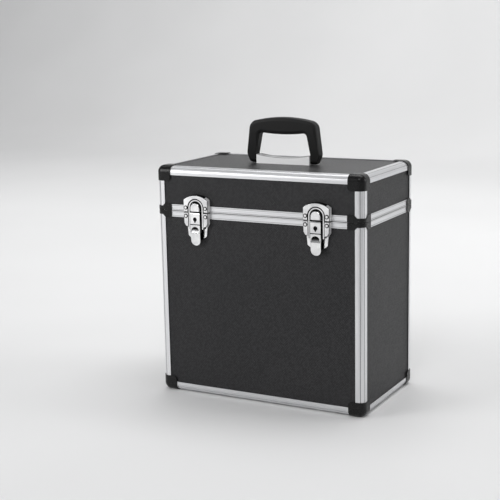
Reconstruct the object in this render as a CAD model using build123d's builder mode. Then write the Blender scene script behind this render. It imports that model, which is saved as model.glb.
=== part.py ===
"""Record carrying case: a tall box for 12-inch records with a hinged lid.

Laminated board panels sit between aluminium edge profiles, with plastic caps on every
corner, two keyed draw latches in front, two butt hinges behind and a folding handle.

Millimetres. X to the right, Y to the back, Z up. The origin is the middle of the
underside, on the surface that the case stands on.
"""

from build123d import *
import math
import os

os.makedirs("parts", exist_ok=True)

# ---------------------------------------------------------------- driving dimensions
case_width = 350.0
case_depth = 198.0
case_top = 364.0
parting = 295.0
parting_gap = 0.3

cap_proud = 1.2
case_bottom = cap_proud

profile_leg = 13.4
profile_sheet = 1.2
profile_round = 9.5
panel_thickness = 5.0
lining_thickness = 1.5

# places that follow from them
half_width = case_width / 2
half_depth = case_depth / 2
panel_inner = profile_sheet + panel_thickness
lining_inner = panel_inner + lining_thickness
lid_bottom = parting + parting_gap
body_top = parting - parting_gap
case_middle = (case_top + case_bottom) / 2


def save(piece, node):
    """Label a finished piece and write it to its own file."""
    piece.label = node
    export_step(piece, f"parts/{node}.step")


def slab(x_size, y_size, bottom, top, x=0.0, y=0.0):
    """A box given by its plan size, its plan centre and its two heights."""
    with Locations((x, y, bottom)):
        Box(x_size, y_size, top - bottom, align=(Align.CENTER, Align.CENTER, Align.MIN))


# ---------------------------------------------------------------- edge profiles
# Each edge of the box is one extrusion: two outer legs with a round nose between them,
# and a core that fills the corner between the ends of the two panels.
profile_end = 15.0
groove_width = 0.8
groove_depth = 0.4
groove_angles = (24.0, 66.0)


def edge_profile(middle, inward_a, inward_b, length):
    """Extrude the edge section both ways from the middle of an edge of the case.

    inward_a and inward_b point from the edge into its two faces.
    """
    along = Vector(inward_a).cross(Vector(inward_b))
    with BuildPart() as profile:
        with BuildSketch(Plane(origin=middle, x_dir=inward_a, z_dir=along)):
            with BuildLine():
                nose = RadiusArc((0, profile_round), (profile_round, 0), -profile_round)
                Polyline(
                    nose @ 1,
                    (profile_leg, 0),
                    (profile_leg, profile_sheet),
                    (profile_round, profile_sheet),
                    (profile_round, panel_inner),
                    (panel_inner, panel_inner),
                    (panel_inner, profile_round),
                    (profile_sheet, profile_round),
                    (profile_sheet, profile_leg),
                    (0, profile_leg),
                    nose @ 0,
                )
            make_face()
            for angle in groove_angles:
                turn = math.radians(180 + angle)
                groove_x = profile_round * (1 + math.cos(turn))
                groove_y = profile_round * (1 + math.sin(turn))
                with Locations(Location((groove_x, groove_y), angle)):
                    Rectangle(2 * groove_depth, groove_width, mode=Mode.SUBTRACT)
        extrude(amount=length / 2, both=True)
    return profile.part


x_run = case_width - 2 * profile_end
y_run = case_depth - 2 * profile_end
for side, sign in (("front", -1), ("back", 1)):
    y_face = sign * half_depth
    base_edge = edge_profile((0, y_face, case_bottom), (0, -sign, 0), (0, 0, 1), x_run)
    save(base_edge, f"base_{side}_profile")
    lid_edge = edge_profile((0, y_face, case_top), (0, -sign, 0), (0, 0, -1), x_run)
    save(lid_edge, f"lid_{side}_profile")
for side, sign in (("left", -1), ("right", 1)):
    x_face = sign * half_width
    base_edge = edge_profile((x_face, 0, case_bottom), (-sign, 0, 0), (0, 0, 1), y_run)
    save(base_edge, f"base_{side}_profile")
    lid_edge = edge_profile((x_face, 0, case_top), (-sign, 0, 0), (0, 0, -1), y_run)
    save(lid_edge, f"lid_{side}_profile")

for side_y, sign_y in (("front", -1), ("back", 1)):
    for side_x, sign_x in (("left", -1), ("right", 1)):
        for half, low, high in (
            ("body", case_bottom + profile_end, body_top),
            ("lid", lid_bottom, case_top - profile_end),
        ):
            upright = edge_profile(
                (sign_x * half_width, sign_y * half_depth, (low + high) / 2),
                (-sign_x, 0, 0),
                (0, -sign_y, 0),
                high - low,
            )
            save(upright, f"{half}_upright_{side_y}_{side_x}")

# ---------------------------------------------------------------- rims at the parting line
# The body's rim carries a tongue and the lid's rim a groove, so the closed case is
# stiff and dust-tight. Sections are drawn as inward distance and height over the line.
rim_height = 9.7
rim_cap = 1.5
rim_hat = 5.3
band_margin = 1.6
band_depth = 0.4
tongue_outer = 3.4
tongue_inner = 4.8
tongue_height = 2.8
groove_outer = 2.7
groove_inner = 5.7
groove_top = 3.8
hat_wall = 1.5


def rim_leaf_outline(direction):
    """The outer leaf of a rim, with a shallow sunken band between two raised edges."""
    near = direction * parting_gap
    far = direction * rim_height
    Polyline(
        (0, near),
        (0, near + direction * band_margin),
        (band_depth, near + direction * band_margin),
        (band_depth, far - direction * band_margin),
        (0, far - direction * band_margin),
        (0, far),
        (profile_sheet, far),
        (profile_sheet, near),
        close=True,
    )


def rim(origin, inward, leaf_length, cap_length, is_lid):
    """One straight rim, its leaf shorter than the cap that runs over the panel's edge."""
    along = Vector(inward).cross(Vector(0, 0, 1))
    section_plane = Plane(origin=origin, x_dir=inward, z_dir=along)
    with BuildPart() as one_rim:
        with BuildSketch(section_plane):
            with BuildLine():
                rim_leaf_outline(1 if is_lid else -1)
            make_face()
        extrude(amount=leaf_length / 2, both=True)
        with BuildSketch(section_plane):
            with BuildLine():
                if is_lid:
                    Polyline(
                        (profile_sheet, parting_gap),
                        (profile_sheet, rim_hat),
                        (groove_inner + hat_wall, rim_hat),
                        (groove_inner + hat_wall, parting_gap),
                        (groove_inner, parting_gap),
                        (groove_inner, groove_top),
                        (groove_outer, groove_top),
                        (groove_outer, parting_gap),
                        close=True,
                    )
                else:
                    Polyline(
                        (profile_sheet, -parting_gap - rim_cap),
                        (profile_sheet, -parting_gap),
                        (tongue_outer, -parting_gap),
                        (tongue_outer, tongue_height),
                        (tongue_inner, tongue_height),
                        (tongue_inner, -parting_gap),
                        (lining_inner, -parting_gap),
                        (lining_inner, -parting_gap - rim_cap),
                        close=True,
                    )
            make_face()
        extrude(amount=cap_length / 2, both=True)
    return one_rim.part


for half, is_lid in (("body", False), ("lid", True)):
    for side, sign in (("front", -1), ("back", 1)):
        long_rim = rim(
            (0, sign * half_depth, parting),
            (0, -sign, 0),
            case_width - 2 * profile_leg,
            case_width - 2 * profile_round,
            is_lid,
        )
        save(long_rim, f"{half}_{side}_rim")
    for side, sign in (("left", -1), ("right", 1)):
        short_rim = rim(
            (sign * half_width, 0, parting),
            (-sign, 0, 0),
            case_depth - 2 * profile_leg,
            case_depth - 2 * profile_round,
            is_lid,
        )
        save(short_rim, f"{half}_{side}_rim")

# ---------------------------------------------------------------- panels and linings
panel_x = case_width - 2 * profile_round
panel_y = case_depth - 2 * profile_round
panel_centre = profile_sheet + panel_thickness / 2
body_panel_low = case_bottom + profile_round
body_panel_high = body_top - rim_cap
lid_panel_low = parting + rim_hat
lid_panel_high = case_top - profile_round

with BuildPart() as base_panel:
    slab(panel_x, panel_y, case_bottom + profile_sheet, case_bottom + panel_inner)
save(base_panel.part, "base_panel")

with BuildPart() as lid_top_panel:
    slab(panel_x, panel_y, case_top - panel_inner, case_top - profile_sheet)
save(lid_top_panel.part, "lid_top_panel")

for half, low, high in (
    ("body", body_panel_low, body_panel_high),
    ("lid", lid_panel_low, lid_panel_high),
):
    for side, sign in (("front", -1), ("back", 1)):
        with BuildPart() as wide_panel:
            slab(panel_x, panel_thickness, low, high, y=sign * (half_depth - panel_centre))
        save(wide_panel.part, f"{half}_{side}_panel")
    for side, sign in (("left", -1), ("right", 1)):
        with BuildPart() as side_panel:
            slab(panel_thickness, panel_y, low, high, x=sign * (half_width - panel_centre))
        save(side_panel.part, f"{half}_{side}_panel")

lining_x = case_width - 2 * panel_inner
lining_y = case_depth - 2 * panel_inner
hollow_x = case_width - 2 * lining_inner
hollow_y = case_depth - 2 * lining_inner

with BuildPart() as body_lining:
    slab(lining_x, lining_y, case_bottom + panel_inner, body_panel_high)
    hollow_bottom = case_bottom + lining_inner
    with Locations((0, 0, hollow_bottom)):
        Box(
            hollow_x,
            hollow_y,
            case_top,
            align=(Align.CENTER, Align.CENTER, Align.MIN),
            mode=Mode.SUBTRACT,
        )
save(body_lining.part, "body_lining")

with BuildPart() as lid_lining:
    slab(lining_x, lining_y, lid_panel_low, case_top - panel_inner)
    with Locations((0, 0, case_top - lining_inner)):
        Box(
            hollow_x,
            hollow_y,
            case_top,
            align=(Align.CENTER, Align.CENTER, Align.MAX),
            mode=Mode.SUBTRACT,
        )
save(lid_lining.part, "lid_lining")

# ---------------------------------------------------------------- ball corners
# Three-way caps: ball-shaped outside, with wings that lie on three faces of the case.
ball_reach_x = 24.6
ball_reach_y = 22.0
ball_reach_z = 22.7
wing_corner = 5.0
cap_chamfer = (2 - math.sqrt(2)) * profile_round


def corner_block(tip, reach):
    """A block whose outer corner is at tip, and the three edges that meet there."""
    with Locations(tip):
        Box(*reach, align=(Align.MAX, Align.MIN, Align.MAX))
    return edges().sort_by_distance(tip)[0:3]


with BuildPart() as cap_inside:
    corner = Vector(half_width, -half_depth, case_top)
    near_edges = corner_block(corner, 3 * [2 * ball_reach_x])
    # flats that just clear the round noses of the profiles
    chamfer(near_edges, length=cap_chamfer)

with BuildPart() as ball_corner:
    tip = Vector(half_width + cap_proud, -half_depth - cap_proud, case_top + cap_proud)
    reach = [length + cap_proud for length in (ball_reach_x, ball_reach_y, ball_reach_z)]
    near_edges = corner_block(tip, reach)
    fillet(near_edges, radius=profile_round + cap_proud)
    add(cap_inside.part, mode=Mode.SUBTRACT)
    wing_corners = edges().filter_by(lambda e: abs(e.length - cap_proud) < 0.01)
    chamfer(wing_corners, length=wing_corner * (2 - math.sqrt(2)))

with BuildPart() as lid_ball_corners:
    add(ball_corner.part)
    mirror(about=Plane.YZ)
    mirror(about=Plane.XZ)
save(lid_ball_corners.part, "lid_ball_corners")

with BuildPart() as base_ball_corners:
    mirror(lid_ball_corners.part, about=Plane.XY.offset(case_middle))
save(base_ball_corners.part, "base_ball_corners")

# ---------------------------------------------------------------- corners at the parting line
# A bent plate round each upright, waisted where it crosses the edge. The lid and the
# body each carry one half.
middle_reach = 25.3
middle_wing = 10.8
middle_waist = 6.5
waist_reach = 10.0

with BuildPart() as middle_corner:
    corner_plane = Plane(
        origin=(half_width, -half_depth, lid_bottom), x_dir=(0, 1, 0), z_dir=(0, 0, 1)
    )
    # local x runs back along the side face, local y runs left along the front face
    with BuildSketch(corner_plane):
        with BuildLine():
            Polyline(
                (profile_round, -cap_proud),
                (middle_reach, -cap_proud),
                (middle_reach, 0),
                (profile_round, 0),
            )
            RadiusArc((profile_round, 0), (0, profile_round), profile_round)
            Polyline(
                (0, profile_round),
                (0, middle_reach),
                (-cap_proud, middle_reach),
                (-cap_proud, profile_round),
            )
            RadiusArc(
                (-cap_proud, profile_round),
                (profile_round, -cap_proud),
                -(profile_round + cap_proud),
            )
        make_face()
    extrude(amount=middle_wing - parting_gap)
    with BuildSketch(corner_plane.offset(middle_waist)):
        Rectangle(2 * waist_reach, 2 * waist_reach)
    extrude(amount=middle_wing, taper=-45, mode=Mode.SUBTRACT)

with BuildPart() as lid_middle_corners:
    add(middle_corner.part)
    mirror(about=Plane.YZ)
    mirror(about=Plane.XZ)
save(lid_middle_corners.part, "lid_middle_corners")

with BuildPart() as body_middle_corners:
    mirror(lid_middle_corners.part, about=Plane.XY.offset(parting))
save(body_middle_corners.part, "body_middle_corners")

# ---------------------------------------------------------------- draw latches
# Each latch is a base plate on the body, a strike plate on the lid, a lever that turns
# on a pin near the top of the base, a loop that the lever draws down over the strike's
# hook, and a lock plug in the lever. "Proud" is the distance in front of the case.
latch_x = 102.5
plate_proud = 6.0
plate_sheet = 1.0
skirt_lean = 0.9
skirt_foot = 0.6
edge_break = 0.7
plate_half = 22.4
plate_gap = 0.6

base_shoulder = (21.8, 277.5)
base_waist = (18.4, 272.0)
foot_half = 17.6
foot_corner = (16.2, 258.0)
foot_end = 251.3
foot_sheet = 1.2

tub_half = 13.7

pivot_z = 292.7
pivot_proud = 5.0
pivot_radius = 1.25
running_gap = 0.05
ear_inner = 6.4
ear_sheet = 1.0
ear_radius = 2.0
ear_drop = 9.0

loop_z = 270.0
loop_proud = 4.4
loop_thickness = 2.2
loop_inner = 10.4
loop_outer = 13.0
loop_arc_z = 302.0
loop_stub = 1.2

strike_shoulder = 315.0
strike_crown = 322.6
recess_radius = 14.5
recess_floor = 2.8
hook_radius = 9.9
hook_bottom = 297.0
hook_proud = 8.5
hook_lean = 1.7
hook_break = 0.9

lever_proud = 8.5
lever_half = 8.9
lever_sheet = 1.2
curl_angle = 72.0
flange_sheet = 1.0
flange_foot = 264.0
tab_half = 8.2
tab_end = 243.5
tab_proud = 6.7
tab_start = 262.0
scoop_half = 6.6
scoop_top = 273.0
scoop_side = 268.6
scoop_foot = 263.6
scoop_depth = 2.5
slot_top = 269.8
pocket_wall = 0.8
crease_z = 276.5
crease_half = 0.9
crease_depth = 0.6

lock_z = 284.6
plug_radius = 3.9
plug_back = 4.6
plug_front = 7.0
collar_half = 4.6
collar_back = 4.9
keyhole_radius = 2.8
keyhole_slot = 1.9
keyhole_drop = 5.2
keyway_width = 1.2
keyway_height = 5.0
cam_back = 3.4
cam_length = 6.0
cam_half = 1.5
keeper_height = 4.0
keeper_inner = 5.3
keeper_post = 6.7
keeper_outer = 7.5
keeper_head = 4.9
keeper_top = 6.1


def face_plane(x, proud):
    """A plane parallel to the front: local x is X, local y is Z, and it faces forward."""
    return Plane(origin=(x, -half_depth - proud, 0), x_dir=(1, 0, 0), z_dir=(0, -1, 0))


def side_plane(x):
    """A plane across a latch: local x is the distance in front of the case, local y is Z."""
    return Plane(origin=(x, -half_depth, 0), x_dir=(0, -1, 0), z_dir=(-1, 0, 0))


def keyhole(radius, slot, drop, z):
    """A round hole with a slot under it."""
    with Locations((0, z)):
        Circle(radius)
        Rectangle(slot, drop, align=(Align.CENTER, Align.MAX))


def base_outline(inset):
    """Front view of the raised part of the base plate: it narrows below the parting line."""
    top = parting + plate_proud
    shoulder = (base_shoulder[0] - inset, base_shoulder[1])
    waist = (base_waist[0] - inset, base_waist[1] + inset)
    Polyline(
        (-waist[0], waist[1]),
        (-shoulder[0], shoulder[1]),
        (inset - plate_half, top),
        (plate_half - inset, top),
        shoulder,
        waist,
        close=True,
    )


def strike_outline(inset):
    """Front view of the strike plate: straight sides under an arched top."""
    half = plate_half - inset
    Polyline(
        (-half, strike_shoulder),
        (-half, parting - plate_proud),
        (half, parting - plate_proud),
        (half, strike_shoulder),
    )
    ThreePointArc((-half, strike_shoulder), (0, strike_crown - inset), (half, strike_shoulder))


def pressed_block(x, draw_outline, inset, proud):
    """Extrude a front view forward, its sides leaning in from a short upright foot."""
    with BuildPart() as block:
        with BuildSketch(face_plane(x, 0)):
            with BuildLine():
                draw_outline(inset)
            make_face()
        extrude(amount=proud)
        front = faces().sort_by(Axis.Y)[0]
        chamfer(front.edges(), length=skirt_lean, length2=proud - skirt_foot, reference=front)
    return block.part


def pressed_plate(x, draw_outline, keep):
    """A pressed plate, hollow behind, cut off straight just short of the parting line."""
    with BuildPart() as plate:
        add(pressed_block(x, draw_outline, 0, plate_proud))
        front = faces().sort_by(Axis.Y)[0]
        chamfer(front.edges(), length=edge_break)
        hollow = pressed_block(x, draw_outline, plate_sheet, plate_proud - plate_sheet)
        add(hollow, mode=Mode.SUBTRACT)
        gap = plate_gap if keep == Keep.TOP else -plate_gap
        split(bisect_by=Plane.XY.offset(parting + gap), keep=keep)
    return plate.part


def foot_outline():
    """Front view of the flat sheet under the lever, which ends in a shallow round foot."""
    wall = tub_half + plate_sheet
    top = parting - plate_gap
    Polyline(
        (-foot_corner[0], foot_corner[1]),
        (-foot_half, base_waist[1]),
        (-wall, base_waist[1] + plate_sheet),
        (-wall, top),
        (wall, top),
        (wall, base_waist[1] + plate_sheet),
        (foot_half, base_waist[1]),
        foot_corner,
    )
    ThreePointArc((-foot_corner[0], foot_corner[1]), (0, foot_end), foot_corner)


def latch_base(x):
    """Pressed plate with a tub for the lever, two pivot ears and the lock's keeper."""
    with BuildPart() as base:
        add(pressed_plate(x, base_outline, Keep.BOTTOM))
        # the tub: side walls, a channel between them that is open at both ends, and a floor
        for half, floor, mode in (
            (tub_half + plate_sheet, 0.0, Mode.ADD),
            (tub_half, 0.0, Mode.SUBTRACT),
        ):
            with BuildSketch(face_plane(x, floor)):
                with Locations((0, parting - plate_gap)):
                    tub_height = parting - plate_gap - base_waist[1]
                    Rectangle(2 * half, tub_height, align=(Align.CENTER, Align.MAX))
            extrude(amount=plate_proud, mode=mode)
        with BuildSketch(face_plane(x, 0)):
            with BuildLine():
                foot_outline()
            make_face()
        extrude(amount=foot_sheet)
        # ears for the lever's pin, on necks that stay clear of the lever's curled top
        for side in (-1, 1):
            with BuildSketch(side_plane(x + side * (ear_inner + ear_sheet / 2))):
                with BuildLine():
                    Polyline(
                        (pivot_proud - ear_radius, pivot_z),
                        (foot_sheet / 2, pivot_z - 2 * ear_radius),
                        (foot_sheet / 2, pivot_z - ear_drop),
                        (pivot_proud + ear_radius / 2, pivot_z - ear_radius / 2),
                        close=True,
                    )
                make_face()
                with Locations((pivot_proud, pivot_z)):
                    Circle(ear_radius)
                    Circle(pivot_radius + running_gap, mode=Mode.SUBTRACT)
            extrude(amount=ear_sheet / 2, both=True)
        # keeper: a bent lug that the lock's cam turns behind
        keeper_low = lock_z - keeper_height / 2
        with BuildSketch(Plane(origin=(x, -half_depth, keeper_low), x_dir=(1, 0, 0), z_dir=(0, 0, 1))):
            with BuildLine():
                Polyline(
                    (keeper_post, 0),
                    (keeper_post, -keeper_head),
                    (keeper_inner, -keeper_head),
                    (keeper_inner, -keeper_top),
                    (keeper_outer, -keeper_top),
                    (keeper_outer, 0),
                    close=True,
                )
            make_face()
        extrude(amount=keeper_height)
    return base.part


def hook(x):
    """The strike's hook: a leaning dome with a square foot, cut short above the lever."""
    with BuildPart() as dome:
        with BuildSketch(face_plane(x, 0)):
            with Locations((0, loop_arc_z)):
                Circle(hook_radius)
                Rectangle(2 * hook_radius, 2 * hook_radius, align=(Align.CENTER, Align.MAX))
        extrude(amount=hook_proud)
        front = faces().sort_by(Axis.Y)[0]
        chamfer(front.edges(), length=hook_lean, length2=hook_proud - recess_floor, reference=front)
        front = faces().sort_by(Axis.Y)[0]
        chamfer(front.edges(), length=hook_break)
        split(bisect_by=Plane.XY.offset(hook_bottom), keep=Keep.TOP)
    return dome.part


def strike_plate(x):
    """Pressed plate on the lid with a recess for the loop and the hook that it pulls on."""
    with BuildPart() as strike:
        add(pressed_plate(x, strike_outline, Keep.TOP))
        for radius, floor, mode in (
            (recess_radius + plate_sheet, 0.0, Mode.ADD),
            (recess_radius, recess_floor, Mode.SUBTRACT),
        ):
            with BuildSketch(face_plane(x, floor)):
                with Locations((0, loop_arc_z)):
                    Circle(radius)
                with Locations((0, parting + plate_gap)):
                    Rectangle(
                        2 * radius,
                        2 * radius,
                        align=(Align.CENTER, Align.MAX),
                        mode=Mode.SUBTRACT,
                    )
                    Rectangle(
                        2 * radius,
                        loop_arc_z - parting - plate_gap,
                        align=(Align.CENTER, Align.MIN),
                    )
            extrude(amount=plate_proud - floor, mode=mode)
        # clear the lever's curled top
        with BuildSketch(face_plane(x, 0)):
            with Locations((0, hook_bottom)):
                clear_half = hook_radius + 0.2
                Rectangle(2 * clear_half, plate_proud, align=(Align.CENTER, Align.MAX))
        extrude(amount=hook_proud, mode=Mode.SUBTRACT)
        add(hook(x))
    return strike.part


def lever(x):
    """Formed sheet with two side flanges: keyhole panel, finger scoop and pull tab."""
    curl_outer = lever_proud - pivot_proud
    curl_inner = curl_outer - lever_sheet
    # the scoop is deepest under its arched upper edge and runs out towards the tab
    with BuildPart() as scoop:
        with BuildSketch(side_plane(x)):
            with BuildLine():
                Polyline(
                    (lever_proud, scoop_foot),
                    (lever_proud - scoop_depth, scoop_top),
                    (lever_proud + 1, scoop_top),
                    (lever_proud + 1, scoop_foot),
                    close=True,
                )
            make_face()
        extrude(amount=scoop_half, both=True)
        with BuildSketch(face_plane(x, 0)):
            with BuildLine():
                ThreePointArc((-scoop_half, scoop_side), (0, scoop_top), (scoop_half, scoop_side))
                Polyline(
                    (scoop_half, scoop_side),
                    (scoop_half, scoop_foot),
                    (-scoop_half, scoop_foot),
                    (-scoop_half, scoop_side),
                )
            make_face()
        extrude(amount=lever_proud + 1, mode=Mode.INTERSECT)

    with BuildPart() as bar:
        # the sheet's side view: curled over the pin, creased, and bent in at the tab
        with BuildSketch(side_plane(x)):
            with BuildLine():
                inner = lever_proud - lever_sheet
                pivot = (pivot_proud, pivot_z)
                Polyline(
                    (lever_proud, pivot_z),
                    (lever_proud, crease_z + crease_half),
                    (lever_proud - crease_depth, crease_z),
                    (lever_proud, crease_z - crease_half),
                    (lever_proud, tab_start),
                    (tab_proud, tab_end),
                    (tab_proud - lever_sheet, tab_end),
                    (inner, tab_start),
                    (inner, pivot_z),
                )
                inside = CenterArc(pivot, curl_inner, 0, curl_angle)
                outside = CenterArc(pivot, curl_outer, 0, curl_angle)
                Line(inside @ 1, outside @ 1)
            make_face()
        extrude(amount=lever_half, both=True)
        # trimmed to its outline from the front
        with BuildSketch(face_plane(x, 0)):
            with BuildLine():
                shoulder = tab_start + 5
                neck = tab_start - 4
                tab_round = tab_end + tab_half
                Polyline(
                    (-lever_half, shoulder),
                    (-lever_half, pivot_z + 2 * curl_outer),
                    (lever_half, pivot_z + 2 * curl_outer),
                    (lever_half, shoulder),
                    (tab_half, neck),
                    (tab_half, tab_round),
                )
                RadiusArc((tab_half, tab_round), (-tab_half, tab_round), tab_half)
                Polyline((-tab_half, tab_round), (-tab_half, neck), (-lever_half, shoulder))
            make_face()
        extrude(amount=lever_proud + 1, mode=Mode.INTERSECT)
        # the pocket that the scoop is pressed into
        with BuildSketch(face_plane(x, lever_proud - scoop_depth - pocket_wall)):
            with Locations((0, tab_start)):
                Rectangle(
                    2 * (scoop_half + pocket_wall),
                    scoop_top + pocket_wall - tab_start,
                    align=(Align.CENTER, Align.MIN),
                )
        extrude(amount=scoop_depth + pocket_wall - lever_sheet / 2)
        add(scoop.part, mode=Mode.SUBTRACT)
        # a crescent slot right through, under the scoop's arched edge
        with BuildSketch(face_plane(x, 0)):
            with BuildLine():
                slot_left = (-scoop_half, scoop_side)
                slot_right = (scoop_half, scoop_side)
                ThreePointArc(slot_left, (0, scoop_top), slot_right)
                ThreePointArc(slot_left, (0, slot_top), slot_right)
            make_face()
        extrude(amount=lever_proud, mode=Mode.SUBTRACT)
        # flanges, drilled for the pin and for the loop's stubs
        for side in (-1, 1):
            with BuildSketch(side_plane(x + side * (lever_half - flange_sheet / 2))):
                with BuildLine():
                    back = loop_proud - loop_thickness
                    Polyline(
                        (lever_proud - lever_sheet / 2, pivot_z),
                        (lever_proud - lever_sheet / 2, flange_foot),
                        (loop_proud, flange_foot),
                        (back, loop_z - loop_thickness),
                        (back, loop_z + 2 * loop_thickness),
                        (pivot_proud - curl_outer, pivot_z),
                        close=True,
                    )
                make_face()
                with Locations((pivot_proud, pivot_z)):
                    Circle(curl_outer)
                    Circle(pivot_radius + running_gap, mode=Mode.SUBTRACT)
                with Locations((loop_proud, loop_z)):
                    Circle(loop_stub + running_gap, mode=Mode.SUBTRACT)
            extrude(amount=flange_sheet / 2, both=True)
        # square collar that the lock plug turns in, and the keyhole through the sheet
        with BuildSketch(face_plane(x, collar_back)):
            with Locations((0, lock_z)):
                Rectangle(2 * collar_half, 2 * collar_half)
                Circle(plug_radius + running_gap, mode=Mode.SUBTRACT)
        extrude(amount=lever_proud - lever_sheet - collar_back)
        with BuildSketch(face_plane(x, collar_back)):
            keyhole(keyhole_radius, keyhole_slot, keyhole_drop, lock_z)
        extrude(amount=lever_proud - collar_back + 1, mode=Mode.SUBTRACT)
    return bar.part


def loop(x):
    """The bail: a flat inverted U whose legs end in stubs that turn in the lever."""
    with BuildPart() as bail:
        with BuildSketch(face_plane(x, loop_proud - loop_thickness / 2)):
            leg_foot = loop_z - loop_thickness / 2
            with Locations((0, loop_arc_z)):
                Circle(loop_outer)
                Rectangle(2 * loop_outer, loop_arc_z - leg_foot, align=(Align.CENTER, Align.MAX))
                Circle(loop_inner, mode=Mode.SUBTRACT)
                Rectangle(
                    2 * loop_inner,
                    loop_arc_z - leg_foot,
                    align=(Align.CENTER, Align.MAX),
                    mode=Mode.SUBTRACT,
                )
        extrude(amount=loop_thickness)
        stub_inner = lever_half - flange_sheet - 0.25
        for side in (-1, 1):
            with BuildSketch(Plane.YZ.offset(x + side * stub_inner)):
                with Locations((-half_depth - loop_proud, loop_z)):
                    Circle(loop_stub)
            extrude(amount=side * (loop_inner - stub_inner))
    return bail.part


def lock_plug(x):
    """A short barrel with a key slot and a cam behind it."""
    with BuildPart() as plug:
        with BuildSketch(face_plane(x, plug_back)):
            with Locations((0, lock_z)):
                Circle(plug_radius)
                Rectangle(keyway_width, keyway_height, mode=Mode.SUBTRACT)
        extrude(amount=plug_front - plug_back)
        with BuildSketch(face_plane(x, cam_back)):
            with Locations((0, lock_z + cam_half)):
                Rectangle(2 * cam_half, cam_length + cam_half, align=(Align.CENTER, Align.MAX))
        extrude(amount=plug_back - cam_back)
    return plug.part


for side, x in (("left", -latch_x), ("right", latch_x)):
    save(latch_base(x), f"latch_base_{side}")
    save(strike_plate(x), f"strike_plate_{side}")
    save(lever(x), f"lever_{side}")
    save(loop(x), f"loop_{side}")
    save(lock_plug(x), f"lock_plug_{side}")

with BuildPart() as lever_pins:
    pin_half = lever_half - running_gap
    for x in (-latch_x, latch_x):
        with BuildSketch(Plane.YZ.offset(x - pin_half)):
            with Locations((-half_depth - pivot_proud, pivot_z)):
                Circle(pivot_radius)
        extrude(amount=2 * pin_half)
save(lever_pins.part, "lever_pins")

# ---------------------------------------------------------------- hinges
hinge_x = 95.0
leaf_half = 25.0
leaf_sheet = 1.5
leaf_height = 27.0
leaf_corner = 3.0
knuckle_radius = 3.2
knuckle_axis_y = half_depth + 4.0
knuckle_half = 9.0
knuckle_gap = 0.4
hinge_pin_radius = 1.6
leaf_relief = 2.7


def back_plane(x, y):
    """A plane parallel to the back: local x is -X, local y is Z, and it faces backward."""
    return Plane(origin=(x, y, 0), x_dir=(-1, 0, 0), z_dir=(0, 1, 0))


def hinge_leaf(x, direction):
    """One leaf with its knuckles. direction is 1 on the lid and -1 on the body."""
    if direction > 0:
        knuckles = [(-knuckle_half, knuckle_half)]
        reliefs = [(-leaf_half, -knuckle_half), (knuckle_half, leaf_half)]
    else:
        knuckles = [
            (-leaf_half, -knuckle_half - knuckle_gap),
            (knuckle_half + knuckle_gap, leaf_half),
        ]
        reliefs = [(-knuckle_half, knuckle_half)]
    with BuildPart() as leaf:
        with BuildSketch(back_plane(x, half_depth)):
            with BuildLine():
                near = parting
                far = parting + direction * leaf_height
                Polyline(
                    (-leaf_half, near),
                    (leaf_half, near),
                    (leaf_half, far),
                    (-leaf_half, far),
                    close=True,
                )
            make_face()
            far_corners = vertices().filter_by(lambda v: abs(v.Z - parting) > leaf_height / 2)
            chamfer(far_corners, length=leaf_corner)
        extrude(amount=leaf_sheet)
        for low, high in reliefs:
            with BuildSketch(back_plane(x, half_depth)):
                with Locations(((low + high) / 2, parting)):
                    Rectangle(high - low + 2 * knuckle_gap, 2 * leaf_relief)
            extrude(amount=leaf_sheet, mode=Mode.SUBTRACT)
        for low, high in knuckles:
            with BuildSketch(Plane.YZ.offset(x + low)):
                with Locations((knuckle_axis_y, parting)):
                    Circle(knuckle_radius)
            extrude(amount=high - low)
        with BuildSketch(Plane.YZ.offset(x - leaf_half)):
            with Locations((knuckle_axis_y, parting)):
                Circle(hinge_pin_radius)
        extrude(amount=2 * leaf_half, mode=Mode.SUBTRACT)
        # nothing of this leaf crosses the parting line, apart from its knuckles
        with BuildSketch(back_plane(x, half_depth)):
            with Locations((0, parting)):
                keep_out = Align.MAX if direction > 0 else Align.MIN
                Rectangle(2 * leaf_half, 2 * leaf_height, align=(Align.CENTER, keep_out))
        extrude(amount=0.5, mode=Mode.SUBTRACT)
    return leaf.part


for half, direction in (("lid", 1), ("body", -1)):
    with BuildPart() as leaves:
        for x in (-hinge_x, hinge_x):
            add(hinge_leaf(x, direction))
    save(leaves.part, f"hinge_leaves_{half}")

with BuildPart() as hinge_pins:
    for x in (-hinge_x, hinge_x):
        with BuildSketch(Plane.YZ.offset(x - leaf_half)):
            with Locations((knuckle_axis_y, parting)):
                Circle(hinge_pin_radius - running_gap)
        extrude(amount=2 * leaf_half)
save(hinge_pins.part, "hinge_pins")

# ---------------------------------------------------------------- carrying handle
handle_pivot_z = 370.4
bracket_half = 46.5
bracket_depth = 8.0
bracket_sheet = 1.2
bracket_top = 377.0
bracket_dip = 373.0
handle_pin_radius = 3.0
handle_pin_end = 57.0
leg_radius = 7.0

with BuildPart() as handle_bracket:
    bracket_foot = case_top - profile_sheet
    slab(2 * bracket_half, 2 * bracket_depth, bracket_foot, bracket_top)
    fillet(edges().filter_by(Axis.Z), radius=bracket_sheet)
    hollow_half = bracket_half - bracket_sheet
    with Locations((0, 0, bracket_foot + bracket_sheet)):
        Box(
            2 * hollow_half,
            2 * (bracket_depth - bracket_sheet),
            bracket_top,
            align=(Align.CENTER, Align.CENTER, Align.MIN),
            mode=Mode.SUBTRACT,
        )
    # the long walls dip in the middle
    with BuildSketch(Plane.XZ):
        with BuildLine():
            dip_half = bracket_half - 2
            ThreePointArc((-dip_half, bracket_top), (0, bracket_dip), (dip_half, bracket_top))
            Line((-dip_half, bracket_top), (dip_half, bracket_top))
        make_face()
    extrude(amount=2 * bracket_depth, both=True, mode=Mode.SUBTRACT)
save(handle_bracket.part, "handle_bracket")

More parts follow.
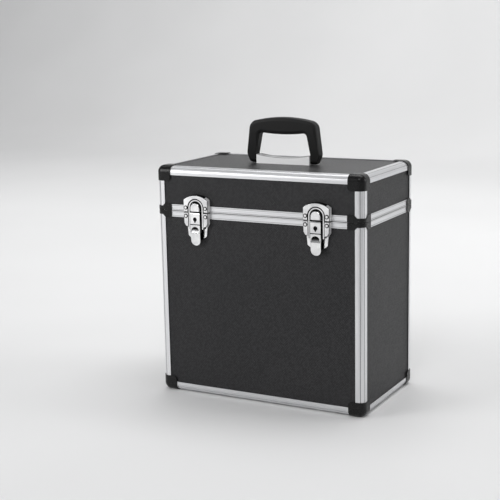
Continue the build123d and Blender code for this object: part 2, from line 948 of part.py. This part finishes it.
with BuildPart() as handle_pins:
    for side in (-1, 1):
        with BuildSketch(Plane.YZ.offset(side * bracket_half)):
            with Locations((0, handle_pivot_z)):
                Circle(handle_pin_radius)
        extrude(amount=side * (handle_pin_end - bracket_half))
save(handle_pins.part, "handle_pins")

grip_top = 435.6
grip_shoulder = (56.8, 428.2)
grip_hip = (63.2, 377.5)
grip_foot = (57.0, handle_pivot_z - leg_radius)
opening_foot = 47.3
opening_hip = (47.6, 377.0)
opening_shoulder = (40.5, 412.0)
grip_belly = 409.3
grip_half_depth = 9.5
grip_edge_steps = ((1.3, 3.9), (3.6, 1.5))

with BuildPart() as handle:
    # front view: a D with a slightly crowned top and a belly under the grip
    with BuildSketch(Plane.XZ) as handle_outline:
        with BuildLine():
            ThreePointArc((-grip_shoulder[0], grip_shoulder[1]), (0, grip_top), grip_shoulder)
            ThreePointArc(
                (-opening_shoulder[0], opening_shoulder[1]), (0, grip_belly), opening_shoulder
            )
            right_leg = Polyline(
                grip_shoulder,
                grip_hip,
                grip_foot,
                (opening_foot, grip_foot[1]),
                opening_hip,
                opening_shoulder,
            )
            mirror(right_leg, about=Plane.YZ)
        make_face()
        for corner, round_radius in (
            (grip_shoulder, 14),
            (opening_shoulder, 6),
            (grip_hip, 14),
            (opening_hip, 12),
            (grip_foot, 6),
        ):
            pair = handle_outline.vertices().filter_by(
                lambda v: abs(abs(v.X) - corner[0]) < 0.01 and abs(v.Y - corner[1]) < 0.01
            )
            fillet(pair, radius=round_radius)
    extrude(amount=grip_half_depth, both=True)
    # the long edges are rounded off in steps, from the middle of the grip outwards
    for end in (-1, 0):
        for on_face, on_side in grip_edge_steps:
            face = faces().filter_by(Axis.Y).sort_by(Axis.Y)[end]
            chamfer(face.edges(), length=on_face, length2=on_side, reference=face)
    # side view: the legs taper down to round feet about the pins
    with BuildSketch(Plane.YZ):
        with BuildLine():
            right_side = Polyline(
                (leg_radius, handle_pivot_z),
                (grip_half_depth, opening_shoulder[1]),
                (grip_half_depth, grip_top + 1),
                (0, grip_top + 1),
            )
            mirror(right_side, about=Plane.YZ)
            RadiusArc((leg_radius, handle_pivot_z), (-leg_radius, handle_pivot_z), leg_radius)
        make_face()
    extrude(amount=case_width, both=True, mode=Mode.INTERSECT)
    # blind bores for the pins
    for side in (-1, 1):
        with BuildSketch(Plane.YZ.offset(side * bracket_half)):
            with Locations((0, handle_pivot_z)):
                Circle(handle_pin_radius + running_gap)
        extrude(amount=side * (handle_pin_end + 0.3 - bracket_half), mode=Mode.SUBTRACT)
save(handle.part, "handle")

# ---------------------------------------------------------------- rivets that show
# Low flat heads on the latch plates.
rivet_radius = 2.5
rivet_height = 0.8
rivet_x = 17.4
strike_rivet_z = 302.0
base_rivet_z = 289.0


rivet_places = [latch + side for latch in (-latch_x, latch_x) for side in (-rivet_x, rivet_x)]
for node, height in (("body_rivets", base_rivet_z), ("lid_rivets", strike_rivet_z)):
    with BuildPart() as heads:
        with BuildSketch(face_plane(0, plate_proud)):
            with Locations([(x, height) for x in rivet_places]):
                Circle(rivet_radius)
        extrude(amount=rivet_height)
    save(heads.part, node)
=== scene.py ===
"""Looks for the record carrying case: materials, small trim, camera, floor and light.

At rest every piece keeps the CAD's own frame, so a material finds a feature by its object
coordinates in metres, and the finish, with its painted shade, travels with a piece that moves.
"""
import math

import bpy
from mathutils import Matrix, Vector


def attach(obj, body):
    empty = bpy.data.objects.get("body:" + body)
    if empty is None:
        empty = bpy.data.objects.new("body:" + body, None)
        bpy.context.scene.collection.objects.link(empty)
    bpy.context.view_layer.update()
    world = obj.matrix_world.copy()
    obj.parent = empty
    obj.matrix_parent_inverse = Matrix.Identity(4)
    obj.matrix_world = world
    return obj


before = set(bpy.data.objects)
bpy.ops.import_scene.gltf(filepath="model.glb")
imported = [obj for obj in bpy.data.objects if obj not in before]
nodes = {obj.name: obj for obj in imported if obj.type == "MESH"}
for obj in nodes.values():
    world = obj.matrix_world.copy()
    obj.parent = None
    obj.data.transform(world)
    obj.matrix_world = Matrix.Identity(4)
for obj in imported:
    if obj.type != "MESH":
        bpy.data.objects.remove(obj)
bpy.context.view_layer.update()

# ---------------------------------------------------------------- places on the case, in metres
HALF_WIDTH = 0.175
HALF_DEPTH = 0.099
CASE_TOP = 0.364
CASE_BOTTOM = 0.0012
PARTING = 0.295
NOSE_RADIUS = 0.0095
# edges of the rim's sunken band, where lines of painted shade run
RIM_BAND_EDGES = [PARTING + step for step in (-0.0081, -0.0019, 0.0019, 0.0081)]

LATCH_X = 0.1025
LATCH_RIVET_X = 0.0174
LATCH_RIVET_ROWS = (0.3020, 0.2890)
LOCK_Z = 0.2846
LOOP_ARC_Z = 0.3020
LOOP_WIRE_RADIUS = 0.0117
LEVER_SCOOP_FOOT = (0.2628, 0.2640)

BRACKET_DIP_Z = 0.373
BRACKET_DIP_CURVE = 0.499
BRACKET_RIVET_X = 0.03
HINGE_X = 0.095
HINGE_RIVET_STEP = 0.016
HINGE_RIVET_ROWS = (("body", PARTING - 0.017), ("lid", PARTING + 0.017))
LEAF_SHEET = 0.0015

# ---------------------------------------------------------------- camera, floor and light
AZIMUTH = math.radians(28.556)
ELEVATION = math.radians(11.279)
ROLL = math.radians(-1.167)
EYE = Vector((0.8197, -1.6261, 0.5889))
LENS = 84.0
SENSOR = 36.0

# name, place, aimed at, size, watts
LIGHTS = (
    ("key_left", (-2.6, -2.6, 1.5), (0, 0, 0.2), (1.7, 2.0), 60),
    ("top", (0.1, 0.6, 3.0), (0, 0, 0.2), (2.4, 1.8), 38),
    ("front_fill", (0.6, -2.0, 1.9), (-0.4, -1.3, 0), (1.1, 1.1), 19),
    ("side_right", (2.6, 1.2, 1.1), (0, 0, 0.2), (1.2, 1.6), 22),
    ("backdrop_wash", (-0.4, 0.9, 3.0), (-1.2, 4.0, 1.3), (4.2, 1.2), 84),
)
WORLD_COLOUR = (0.93, 0.94, 0.96, 1)
WORLD_STRENGTH = 0.30


def place_camera():
    """The camera fitted to the photograph's edges."""
    forward = Vector((-math.sin(AZIMUTH) * math.cos(ELEVATION),
                      math.cos(AZIMUTH) * math.cos(ELEVATION),
                      -math.sin(ELEVATION)))
    right = forward.cross(Vector((0, 0, 1))).normalized()
    up = right.cross(forward)
    right_rolled = math.cos(ROLL) * right + math.sin(ROLL) * up
    up_rolled = -math.sin(ROLL) * right + math.cos(ROLL) * up
    data = bpy.data.cameras.new("camera")
    data.sensor_width = SENSOR
    data.lens = LENS
    data.clip_start = 0.05
    data.clip_end = 60.0
    camera = bpy.data.objects.new("camera", data)
    bpy.context.scene.collection.objects.link(camera)
    turn = Matrix((right_rolled, up_rolled, -forward)).transposed()
    camera.matrix_world = Matrix.Translation(EYE) @ turn.to_4x4()
    bpy.context.scene.camera = camera


def area_light(name, place, target, size, power):
    data = bpy.data.lights.new(name, "AREA")
    data.shape = "RECTANGLE"
    data.size, data.size_y = size
    data.energy = power
    lamp = bpy.data.objects.new(name, data)
    bpy.context.scene.collection.objects.link(lamp)
    lamp.location = place
    aim = Vector(target) - Vector(place)
    lamp.rotation_euler = aim.to_track_quat("-Z", "Y").to_euler()


def studio():
    for light in LIGHTS:
        area_light(*light)
    world = bpy.data.worlds.new("world")
    bpy.context.scene.world = world
    world.use_nodes = True
    background = world.node_tree.nodes["Background"]
    background.inputs["Color"].default_value = WORLD_COLOUR
    background.inputs["Strength"].default_value = WORLD_STRENGTH
    bpy.context.scene.view_settings.view_transform = "Standard"
    bpy.context.scene.view_settings.look = "None"


def link_mesh(name, verts, faces):
    """A new smooth-shaded piece."""
    mesh = bpy.data.meshes.new(name)
    mesh.from_pydata([tuple(v) for v in verts], [], faces)
    mesh.update()
    for polygon in mesh.polygons:
        polygon.use_smooth = True
    piece = bpy.data.objects.new(name, mesh)
    bpy.context.scene.collection.objects.link(piece)
    return piece


def sweep_floor(half_width, front, wall, bend, height, steps=24):
    """A floor that turns up into a backdrop through a round bend."""
    profile = [(front, 0.0)]
    for index in range(steps + 1):
        turned = math.radians(90 * index / steps)
        profile.append((wall - bend + bend * math.sin(turned), bend - bend * math.cos(turned)))
    profile.append((wall, height))
    verts = [(side * half_width, y, z) for y, z in profile for side in (-1, 1)]
    faces = [(2 * i, 2 * i + 1, 2 * i + 3, 2 * i + 2) for i in range(len(profile) - 1)]
    return link_mesh("floor", verts, faces)


place_camera()
studio()
floor = sweep_floor(half_width=9.0, front=-9.0, wall=4.2, bend=1.6, height=5.0)


# ---------------------------------------------------------------- material helpers
class Graph:
    """Short names for building one material's nodes."""

    def __init__(self, name):
        self.material = bpy.data.materials.new(name)
        self.material.use_nodes = True
        self.tree = self.material.node_tree
        self.shader = self.tree.nodes["Principled BSDF"]

    def node(self, kind, **settings):
        made = self.tree.nodes.new(kind)
        for key, value in settings.items():
            setattr(made, key, value)
        return made

    def link(self, source, target):
        self.tree.links.new(source, target)

    def value(self, socket, value):
        self.shader.inputs[socket].default_value = value

    def feed(self, socket, source):
        self.link(source, self.shader.inputs[socket])

    def math(self, operation, a, b=None):
        made = self.node("ShaderNodeMath", operation=operation)
        for index, item in enumerate((a, b)):
            if item is None:
                continue
            if isinstance(item, (int, float)):
                made.inputs[index].default_value = item
            else:
                self.link(item, made.inputs[index])
        return made.outputs[0]

    def product(self, first, *others):
        for other in others:
            first = self.math("MULTIPLY", first, other)
        return first

    def away(self, value, place):
        """How far a value is from a place, on either side of it."""
        return self.math("ABSOLUTE", self.math("SUBTRACT", value, place))

    def reach(self, a, b):
        """The length of the diagonal over two distances."""
        squares = self.math("ADD", self.math("MULTIPLY", a, a), self.math("MULTIPLY", b, b))
        return self.math("SQRT", squares)

    def place(self, scale=(1, 1, 1)):
        """Object coordinates in metres, scaled."""
        coords = self.node("ShaderNodeTexCoord")
        mapping = self.node("ShaderNodeMapping")
        mapping.inputs["Scale"].default_value = scale
        self.link(coords.outputs["Object"], mapping.inputs["Vector"])
        return mapping.outputs["Vector"]

    def split(self, vector):
        made = self.node("ShaderNodeSeparateXYZ")
        self.link(vector, made.inputs[0])
        return made.outputs[0:3]

    def noise(self, vector, scale, detail=3.0, roughness=0.5):
        made = self.node("ShaderNodeTexNoise")
        made.inputs["Scale"].default_value = scale
        made.inputs["Detail"].default_value = detail
        made.inputs["Roughness"].default_value = roughness
        self.link(vector, made.inputs["Vector"])
        return made.outputs["Fac"]

    def ramp(self, fac, low, dark, high, bright):
        """A ramp between two colours at two positions."""
        made = self.node("ShaderNodeValToRGB")
        stops = zip(made.color_ramp.elements, ((low, dark), (high, bright)))
        for element, (position, colour) in stops:
            element.position = position
            element.color = tuple(colour) + (1,)
        self.link(fac, made.inputs["Fac"])
        return made.outputs["Color"]

    def between(self, fac, low, high):
        made = self.node("ShaderNodeMapRange")
        made.inputs["To Min"].default_value = low
        made.inputs["To Max"].default_value = high
        self.link(fac, made.inputs["Value"])
        return made.outputs["Result"]

    def smooth(self, value, low, high, dark, bright):
        """dark below low, bright above high, and a smooth step between them."""
        made = self.node("ShaderNodeMapRange", interpolation_type="SMOOTHSTEP")
        for socket, number in (("From Min", low), ("From Max", high),
                               ("To Min", dark), ("To Max", bright)):
            made.inputs[socket].default_value = number
        self.link(value, made.inputs["Value"])
        return made.outputs["Result"]

    def tint(self, colour, factor):
        """A colour times a grey factor."""
        made = self.node("ShaderNodeMix", data_type="RGBA", blend_type="MULTIPLY")
        made.inputs[0].default_value = 1.0
        self.link(colour, made.inputs[6])
        self.link(factor, made.inputs[7])
        return made.outputs[2]

    def bump(self, height, strength, distance):
        made = self.node("ShaderNodeBump")
        made.inputs["Strength"].default_value = strength
        made.inputs["Distance"].default_value = distance
        self.link(height, made.inputs["Height"])
        self.feed("Normal", made.outputs["Normal"])


def grey(level):
    return (level, level, level)


# ---------------------------------------------------------------- board, aluminium, plastic
DIAMOND_PITCH = 0.0040
GRAIN_SCALE = 320


def laminate(name, across, along, base, shine, contrast):
    """Black laminate pressed with a fine diamond grain, over board. across and along
    pick the two object axes that the panel lies in."""
    g = Graph(name)
    xyz = g.split(g.place())
    waves = []
    for operation in ("ADD", "SUBTRACT"):
        diagonal = g.math(operation, xyz[across], xyz[along])
        turns = g.math("MULTIPLY", diagonal, math.pi / DIAMOND_PITCH)
        waves.append(g.math("ABSOLUTE", g.math("SINE", turns)))
    diamonds = g.math("MINIMUM", *waves)
    grain = g.noise(g.place(), GRAIN_SCALE, detail=3, roughness=0.65)
    height = g.math("ADD", g.math("MULTIPLY", diamonds, 0.8), g.math("MULTIPLY", grain, 0.9))
    cloudy = g.noise(g.place(), 7, detail=2)
    colour = g.ramp(cloudy, 0.3, (base, base, base * 1.08),
                    0.7, (base * 1.25, base * 1.22, base * 1.3))
    colour = g.tint(colour, g.smooth(grain, 0.38, 0.62, 1 - contrast, 1 + contrast))
    colour = g.tint(colour, g.smooth(diamonds, 0.05, 0.6, 1 - contrast, 1 + 0.8 * contrast))
    g.feed("Base Color", colour)
    g.feed("Roughness", g.between(diamonds, 0.50, 0.36))
    g.value("Specular IOR Level", shine)
    g.bump(height, 0.7, 0.0004)
    return g.material


def rim_shade_lines(g, metal, x, y, z):
    """Thin lines of painted shade along the edges of the sunken band, and painted shade in the
    gap between lid and body. That shade is on the outer face only, so that the open rim stays
    bright."""
    # painted shade: thin dark lines at the sunken band's edges
    for band_edge_z in RIM_BAND_EDGES:
        metal = g.tint(metal, g.smooth(g.away(z, band_edge_z), 0.0001, 0.0006, 0.50, 1.0))
    # painted shade in the gap between lid and body, on the outer face only
    inward = g.math("MINIMUM", g.math("SUBTRACT", HALF_WIDTH, g.math("ABSOLUTE", x)),
                    g.math("SUBTRACT", HALF_DEPTH, g.math("ABSOLUTE", y)))
    parting_shade = g.math("MAXIMUM", g.smooth(g.away(z, PARTING), 0.0004, 0.0009, 0.22, 1.0),
                   g.smooth(inward, 0.0004, 0.0008, 0.0, 1.0))
    return g.tint(metal, parting_shade)


def nose_groove_shade(g, metal, x, y, z, length_axis):
    """Painted shade in the two grooves of the round nose, where it is deeper than its full
    radius.
    """
    past = [g.math("SUBTRACT", g.math("ABSOLUTE", x), HALF_WIDTH - NOSE_RADIUS),
            g.math("SUBTRACT", g.math("ABSOLUTE", y), HALF_DEPTH - NOSE_RADIUS),
            g.math("MAXIMUM", g.math("SUBTRACT", z, CASE_TOP - NOSE_RADIUS),
                   g.math("SUBTRACT", CASE_BOTTOM + NOSE_RADIUS, z))]
    nose = [g.math("MAXIMUM", past[axis], 0.0) for axis in range(3) if axis != length_axis]
    # how dark the painted groove shade is, on the uprights and on the other profiles
    groove_shade = 0.12 if length_axis == 2 else 0.55
    return g.tint(metal, g.smooth(g.reach(*nose), 0.00915, 0.00940, groove_shade, 1.0))


def satin_aluminium(name, length_axis, rim=False):
    """Anodised extrusion with fine drawing lines along its length."""
    g = Graph(name)
    scale = [1500.0, 1500.0, 1500.0]
    scale[length_axis] = 9.0
    lines = g.noise(g.place(scale), 1.0, detail=4, roughness=0.6)
    cloudy = g.noise(g.place(), 11, detail=2)
    metal = g.ramp(lines, 0.30, (0.66, 0.665, 0.68), 0.70, (0.80, 0.80, 0.81))
    x, y, z = g.split(g.place())
    # painted shade on the rim's band edges and gap, or in the nose grooves
    if rim:
        metal = rim_shade_lines(g, metal, x, y, z)
    else:
        metal = nose_groove_shade(g, metal, x, y, z, length_axis)
    g.feed("Base Color", metal)
    g.feed("Roughness", g.between(cloudy, 0.36, 0.45))
    g.value("Metallic", 1.0)
    g.bump(lines, 0.15, 0.00008)
    return g.material


def moulded_plastic(name, level, roughness, grain_scale, grain_depth, shine):
    g = Graph(name)
    g.value("Specular IOR Level", shine)
    grain = g.noise(g.place(), grain_scale, detail=3)
    cloudy = g.noise(g.place(), 30, detail=2)
    g.feed("Base Color", g.ramp(cloudy, 0.3, (level, level * 0.97, level),
                                0.7, (level * 1.3, level * 1.26, level * 1.3)))
    g.feed("Roughness", g.between(grain, roughness - 0.05, roughness + 0.07))
    g.bump(grain, 0.3, grain_depth)
    return g.material


# ---------------------------------------------------------------- plated steel
RIPPLE_SCALE = 160
RIPPLE_STRENGTH = 0.4
RIPPLE_DEPTH = 0.00006
BEND_FACING = (0.72, 0.95)
RECESS_EDGE = (0.0155, 0.0165)


def plated(name, colour, roughness):
    """Bright plating over pressed sheet: very slight waves and a faint uneven haze."""
    g = Graph(name)
    waves = g.noise(g.place(), RIPPLE_SCALE, detail=2)
    haze = g.noise(g.place(), 60, detail=3)
    g.feed("Base Color", g.ramp(haze, 0.3, [c * 0.95 for c in colour], 0.7, colour))
    g.feed("Roughness", g.between(haze, roughness, roughness + 0.07))
    g.value("Metallic", 1.0)
    g.bump(waves, RIPPLE_STRENGTH, RIPPLE_DEPTH)
    return g.material


def rivet_ring_shade(g, across, z, height):
    """Painted shade in the crevice round a rivet's head."""
    radius = g.reach(g.math("SUBTRACT", across, LATCH_RIVET_X), g.math("SUBTRACT", z, height))
    return g.smooth(radius, 0.0030, 0.0038, 0.05, 1.0)


def plate_shade(g, across, proud, z, facing):
    """Latch base and strike plate: painted shade in the recess, on bends, round rivets and in
    the gap between the plates. The skirt outside the recess is spared that shade and is less
    metallic."""
    # the skirt is spared the painted bend shade and made less metallic, to show as a bright
    # strip
    skirt = g.math("MULTIPLY", g.smooth(facing, 0.2, 0.4, 1.0, 0.0),
                   g.smooth(across, *RECESS_EDGE, 0.0, 0.8))
    bend_shade = g.math("MAXIMUM", g.smooth(facing, *BEND_FACING, 0.07, 1.0), skirt)
    metallic = g.smooth(skirt, 0.1, 0.7, 1.0, 0.15)
    # painted shade in the recess and beside the tab; the foot further out is spared it
    depth_shade = g.math("MAXIMUM", g.smooth(proud, 0.0029, 0.0044, 0.04, 1.0),
                  g.smooth(across, *RECESS_EDGE, 0.0, 1.0))
    unshaded_foot = g.math("MULTIPLY", g.smooth(across, 0.0100, 0.0108, 0.0, 1.0),
                  g.smooth(z, 0.2705, 0.2725, 1.0, 0.0))
    # painted shade round the rivet heads and in the gap between the plates
    rivet_shade = g.math("MINIMUM", *[rivet_ring_shade(g, across, z, row) for row in LATCH_RIVET_ROWS])
    parting_shade = g.smooth(g.away(z, PARTING), 0.0008, 0.0016, 0.06, 1.0)
    return g.product(g.math("MAXIMUM", depth_shade, unshaded_foot), bend_shade, rivet_shade, parting_shade), metallic


def loop_shade(g, side, z, facing):
    """Painted reflection on the loop's wire: bright along its middle, painted shade on its
    flanks.
    """
    above = g.math("MAXIMUM", g.math("SUBTRACT", z, LOOP_ARC_Z), 0.0)
    middle = g.away(g.reach(side, above), LOOP_WIRE_RADIUS)
    return g.math("MULTIPLY", g.smooth(middle, 0.00045, 0.00115, 1.0, 0.08),
                  g.smooth(facing, 0.3, 0.7, 0.1, 1.0))


def lever_shade(g, side, across, proud, z, facing):
    """Painted shade on bends and side edges, with depth, in the finger scoop and round the
    keyhole.
    """
    bend_shade = g.smooth(facing, *BEND_FACING, 0.07, 1.0)
    edge_shade = g.smooth(across, 0.0081, 0.0088, 1.0, 0.10)
    depth_shade = g.smooth(proud, 0.0040, 0.0060, 0.05, 1.0)
    scoop_shade = g.math("MAXIMUM", g.smooth(proud, 0.0071, 0.0086, 0.03, 1.0),
                   g.smooth(z, *LEVER_SCOOP_FOOT, 1.0, 0.0))
    # painted shade in a ring round the keyhole
    keyhole = g.reach(side, g.math("SUBTRACT", z, LOCK_Z))
    return g.product(bend_shade, edge_shade, depth_shade, g.smooth(keyhole, 0.0030, 0.0037, 0.04, 1.0), scoop_shade)


def latch_chrome(name, kind):
    """Bright plating of a latch piece, with painted shade: recesses, bent edges, gaps and the
    flanks of the loop are painted darker, standing in for plating that mirrors only itself and
    the black case."""
    g = Graph(name)
    x, y, z = g.split(g.place())
    side = g.math("SUBTRACT", g.math("ABSOLUTE", x), LATCH_X)
    across = g.math("ABSOLUTE", side)
    proud = g.math("SUBTRACT", g.math("MULTIPLY", y, -1.0), HALF_DEPTH)
    normal = g.node("ShaderNodeTexCoord").outputs["Normal"]
    facing = g.math("ABSOLUTE", g.split(normal)[1])
    haze = g.noise(g.place(), 60, detail=3)
    metal = g.ramp(haze, 0.36, (0.70, 0.70, 0.71), 0.62, grey(0.95))
    g.value("Metallic", 1.0)
    if kind == "plate":
        shade, metallic = plate_shade(g, across, proud, z, facing)
        g.feed("Metallic", metallic)
    elif kind == "loop":
        shade = loop_shade(g, side, z, facing)
    else:
        shade = lever_shade(g, side, across, proud, z, facing)
    # painted shade and painted reflection darken the plating's colour here
    g.feed("Base Color", g.tint(metal, shade))
    g.feed("Roughness", g.between(haze, 0.10, 0.19))
    g.bump(g.noise(g.place(), RIPPLE_SCALE, detail=2), RIPPLE_STRENGTH, RIPPLE_DEPTH)
    return g.material


def rivet_steel(name):
    """Bright flat head, with painted shade on its rolled edge."""
    g = Graph(name)
    x, _, z = g.split(g.place())
    across = g.away(g.math("ABSOLUTE", x), LATCH_X)
    nearest = g.math("MINIMUM", *[g.away(z, row) for row in LATCH_RIVET_ROWS])
    radius = g.reach(g.math("SUBTRACT", across, LATCH_RIVET_X), nearest)
    metal = g.ramp(g.noise(g.place(), 90), 0.3, grey(0.84), 0.7, grey(0.92))
    # painted shade on the rolled edge of each head
    g.feed("Base Color", g.tint(metal, g.smooth(radius, 0.0015, 0.0022, 1.0, 0.06)))
    g.value("Metallic", 1.0)
    g.feed("Roughness", g.between(g.noise(g.place(), 200), 0.12, 0.22))
    return g.material


def satin_nickel(name):
    """Pale, softly shining plating of the handle's bracket, with a painted dark line of shade
    under its sheared upper edge, which dips in a parabola, and painted shade on its inside."""
    g = Graph(name)
    brushed = g.noise(g.place((30, 900, 900)), 1.0, detail=3)
    metal = g.ramp(brushed, 0.3, (0.95, 0.95, 0.955), 0.7, grey(1.0))
    x, y, z = g.split(g.place())
    # painted shade: a dark line just under the upper edge's parabolic dip
    curve = g.math("DIVIDE", g.math("MULTIPLY", x, x), BRACKET_DIP_CURVE)
    below = g.math("SUBTRACT", g.math("ADD", curve, BRACKET_DIP_Z), z)
    metal = g.tint(metal, g.smooth(below, 0.0004, 0.0010, 0.40, 1.0))
    # painted shade on the bracket's inside
    metal = g.tint(metal, g.smooth(g.math("ABSOLUTE", y), 0.0069, 0.0073, 0.78, 1.0))
    g.feed("Base Color", metal)
    g.feed("Roughness", g.between(brushed, 0.28, 0.40))
    g.value("Metallic", 0.20)
    g.bump(brushed, 0.2, 0.00005)
    return g.material


# ---------------------------------------------------------------- felt and floor
def felt(name):
    g = Graph(name)
    fibres = g.noise(g.place(), 1600, detail=4, roughness=0.7)
    cloudy = g.noise(g.place(), 25, detail=3)
    mix = g.math("ADD", g.math("MULTIPLY", fibres, 0.5), g.math("MULTIPLY", cloudy, 0.5))
    g.feed("Base Color", g.ramp(mix, 0.3, grey(0.012), 0.7, grey(0.038)))
    g.value("Roughness", 0.95)
    g.value("Sheen Weight", 0.25)
    g.value("Sheen Roughness", 0.4)
    g.bump(fibres, 0.8, 0.0006)
    return g.material


def pale_floor(name):
    g = Graph(name)
    cloudy = g.noise(g.place(), 1.3, detail=2)
    g.feed("Base Color", g.ramp(cloudy, 0.3, grey(0.72), 0.7, grey(0.76)))
    g.value("Roughness", 0.6)
    return g.material


LAMINATE = {
    "front": laminate("laminate_front", 0, 2, base=0.0165, shine=0.25, contrast=0.26),
    "side": laminate("laminate_side", 1, 2, base=0.0165, shine=0.25, contrast=0.45),
    "level": laminate("laminate_level", 0, 1, base=0.018, shine=0.68, contrast=0.3),
}
ALUMINIUM = [satin_aluminium("aluminium_" + axis, index) for index, axis in enumerate("xyz")]
RIM_ALUMINIUM = [satin_aluminium("rim_aluminium_" + axis, index, rim=True)
                 for index, axis in enumerate("xy")]
CORNER = moulded_plastic("corner_plastic", level=0.0025, roughness=0.26, grain_scale=700,
                         grain_depth=0.00006, shine=0.30)
GRIP = moulded_plastic("grip_plastic", level=0.003, roughness=0.48, grain_scale=1100,
                       grain_depth=0.00012, shine=0.24)
CHROME = {kind: latch_chrome("chrome_" + kind, kind) for kind in ("plate", "lever", "loop")}
ZINC = plated("plated_steel", (0.62, 0.62, 0.63), 0.22)
RIVET = rivet_steel("rivet_steel")
NICKEL = satin_nickel("satin_nickel")
# the lock plug is painted near-black, as painted shade inside the keyhole
LOCK_SHADE = plated("lock_steel", (0.02, 0.02, 0.022), 0.45)
FELT = felt("black_felt")
HEADS = plated("rivet_heads", (0.70, 0.70, 0.71), 0.24)
floor.data.materials.append(pale_floor("floor"))


# ---------------------------------------------------------------- dressing the CAD pieces
def chosen(node):
    """The material of a CAD node, by its name."""
    sideways = "left" in node or "right" in node
    if node.endswith("_panel"):
        if node in ("base_panel", "lid_top_panel"):
            return LAMINATE["level"]
        return LAMINATE["side" if sideways else "front"]
    if node.endswith("_lining"):
        return FELT
    if "_upright_" in node:
        return ALUMINIUM[2]
    if node.endswith("_profile"):
        return ALUMINIUM[1 if sideways else 0]
    if node.endswith("_rim"):
        return RIM_ALUMINIUM[1 if sideways else 0]
    if node.endswith("_corners"):
        return CORNER
    if node == "handle":
        return GRIP
    if node.startswith("hinge_") or node in ("handle_pins", "lever_pins"):
        return ZINC
    if node.endswith("_rivets"):
        return RIVET
    if node.startswith("lock_plug"):
        return LOCK_SHADE
    if node == "handle_bracket":
        return NICKEL
    if node.startswith("loop_"):
        return CHROME["loop"]
    if node.startswith("lever_"):
        return CHROME["lever"]
    return CHROME["plate"]


def dress(node, material):
    piece = nodes[node]
    if len(piece.data.materials) == 0:
        piece.data.materials.append(material)
    for slot in piece.material_slots:
        slot.material = material


def soften(node, width, segments=2, limit=28):
    """Round the sharp edges of a CAD piece a little, so that they catch the light."""
    piece = nodes[node]
    weld = piece.modifiers.new("weld", "WELD")
    weld.merge_threshold = 0.000002
    bevel = piece.modifiers.new("bevel", "BEVEL")
    bevel.width = width
    bevel.segments = segments
    bevel.limit_method = "ANGLE"
    bevel.angle_limit = math.radians(limit)
    bevel.harden_normals = False
    bevel.use_clamp_overlap = True
    for polygon in piece.data.polygons:
        polygon.use_smooth = True
    normals = piece.modifiers.new("normals", "WEIGHTED_NORMAL")
    normals.keep_sharp = False
    normals.weight = 100


for name in nodes:
    dress(name, chosen(name))
    if name.startswith(("strike_plate", "latch_base", "lever_left", "lever_right", "loop_")):
        soften(name, 0.00022)
    elif name == "handle":
        soften(name, 0.0009, segments=3, limit=12)
    elif name.endswith("_corners"):
        soften(name, 0.0004, limit=35)
    elif name.endswith("_rivets"):
        soften(name, 0.0005, segments=3)

# ---------------------------------------------------------------- small fasteners
HEAD_RADIUS = 0.0026
HEAD_HEIGHT = 0.0011
HEAD_RIM = 0.3
HEAD_SIDES = 20
HEAD_RINGS = 5


def rivet_heads(name, places, facing, link):
    """Domed heads with a short upright rim, each turned to face the given way."""
    turned = Vector((0, 0, 1)).rotation_difference(Vector(facing)).to_matrix()
    profile = [(HEAD_RADIUS, 0.0), (HEAD_RADIUS, HEAD_RIM * HEAD_HEIGHT)]
    for index in range(1, HEAD_RINGS):
        angle = math.radians(90 * index / HEAD_RINGS)
        profile.append((HEAD_RADIUS * math.cos(angle),
                        HEAD_HEIGHT * (HEAD_RIM + (1 - HEAD_RIM) * math.sin(angle))))
    verts = []
    faces = []
    for place in places:
        start = len(verts)
        for reach, rise in profile:
            for step in range(HEAD_SIDES):
                angle = 2 * math.pi * step / HEAD_SIDES
                spot = Vector((reach * math.cos(angle), reach * math.sin(angle), rise))
                verts.append(Vector(place) + turned @ spot)
        crown = len(verts)
        verts.append(Vector(place) + turned @ Vector((0, 0, HEAD_HEIGHT)))
        last = start + (len(profile) - 1) * HEAD_SIDES
        for low in range(start, last, HEAD_SIDES):
            high = low + HEAD_SIDES
            for step in range(HEAD_SIDES):
                after = (step + 1) % HEAD_SIDES
                faces.append((low + step, low + after, high + after, high + step))
        for step in range(HEAD_SIDES):
            faces.append((last + step, last + (step + 1) % HEAD_SIDES, crown))
        faces.append(tuple(start + step for step in reversed(range(HEAD_SIDES))))
    heads = link_mesh(name, verts, faces)
    heads.data.materials.append(HEADS)
    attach(heads, link)


HINGE_RIVETS = [side * HINGE_X + step for side in (-1, 1)
                for step in (-HINGE_RIVET_STEP, HINGE_RIVET_STEP)]
for link, height in HINGE_RIVET_ROWS:
    rivet_heads("hinge_rivets_" + link, [(x, HALF_DEPTH + LEAF_SHEET, height)
                                         for x in HINGE_RIVETS], (0, 1, 0), link)
rivet_heads("bracket_rivets", [(x, 0, CASE_TOP) for x in (-BRACKET_RIVET_X, BRACKET_RIVET_X)],
            (0, 0, 1), "lid")
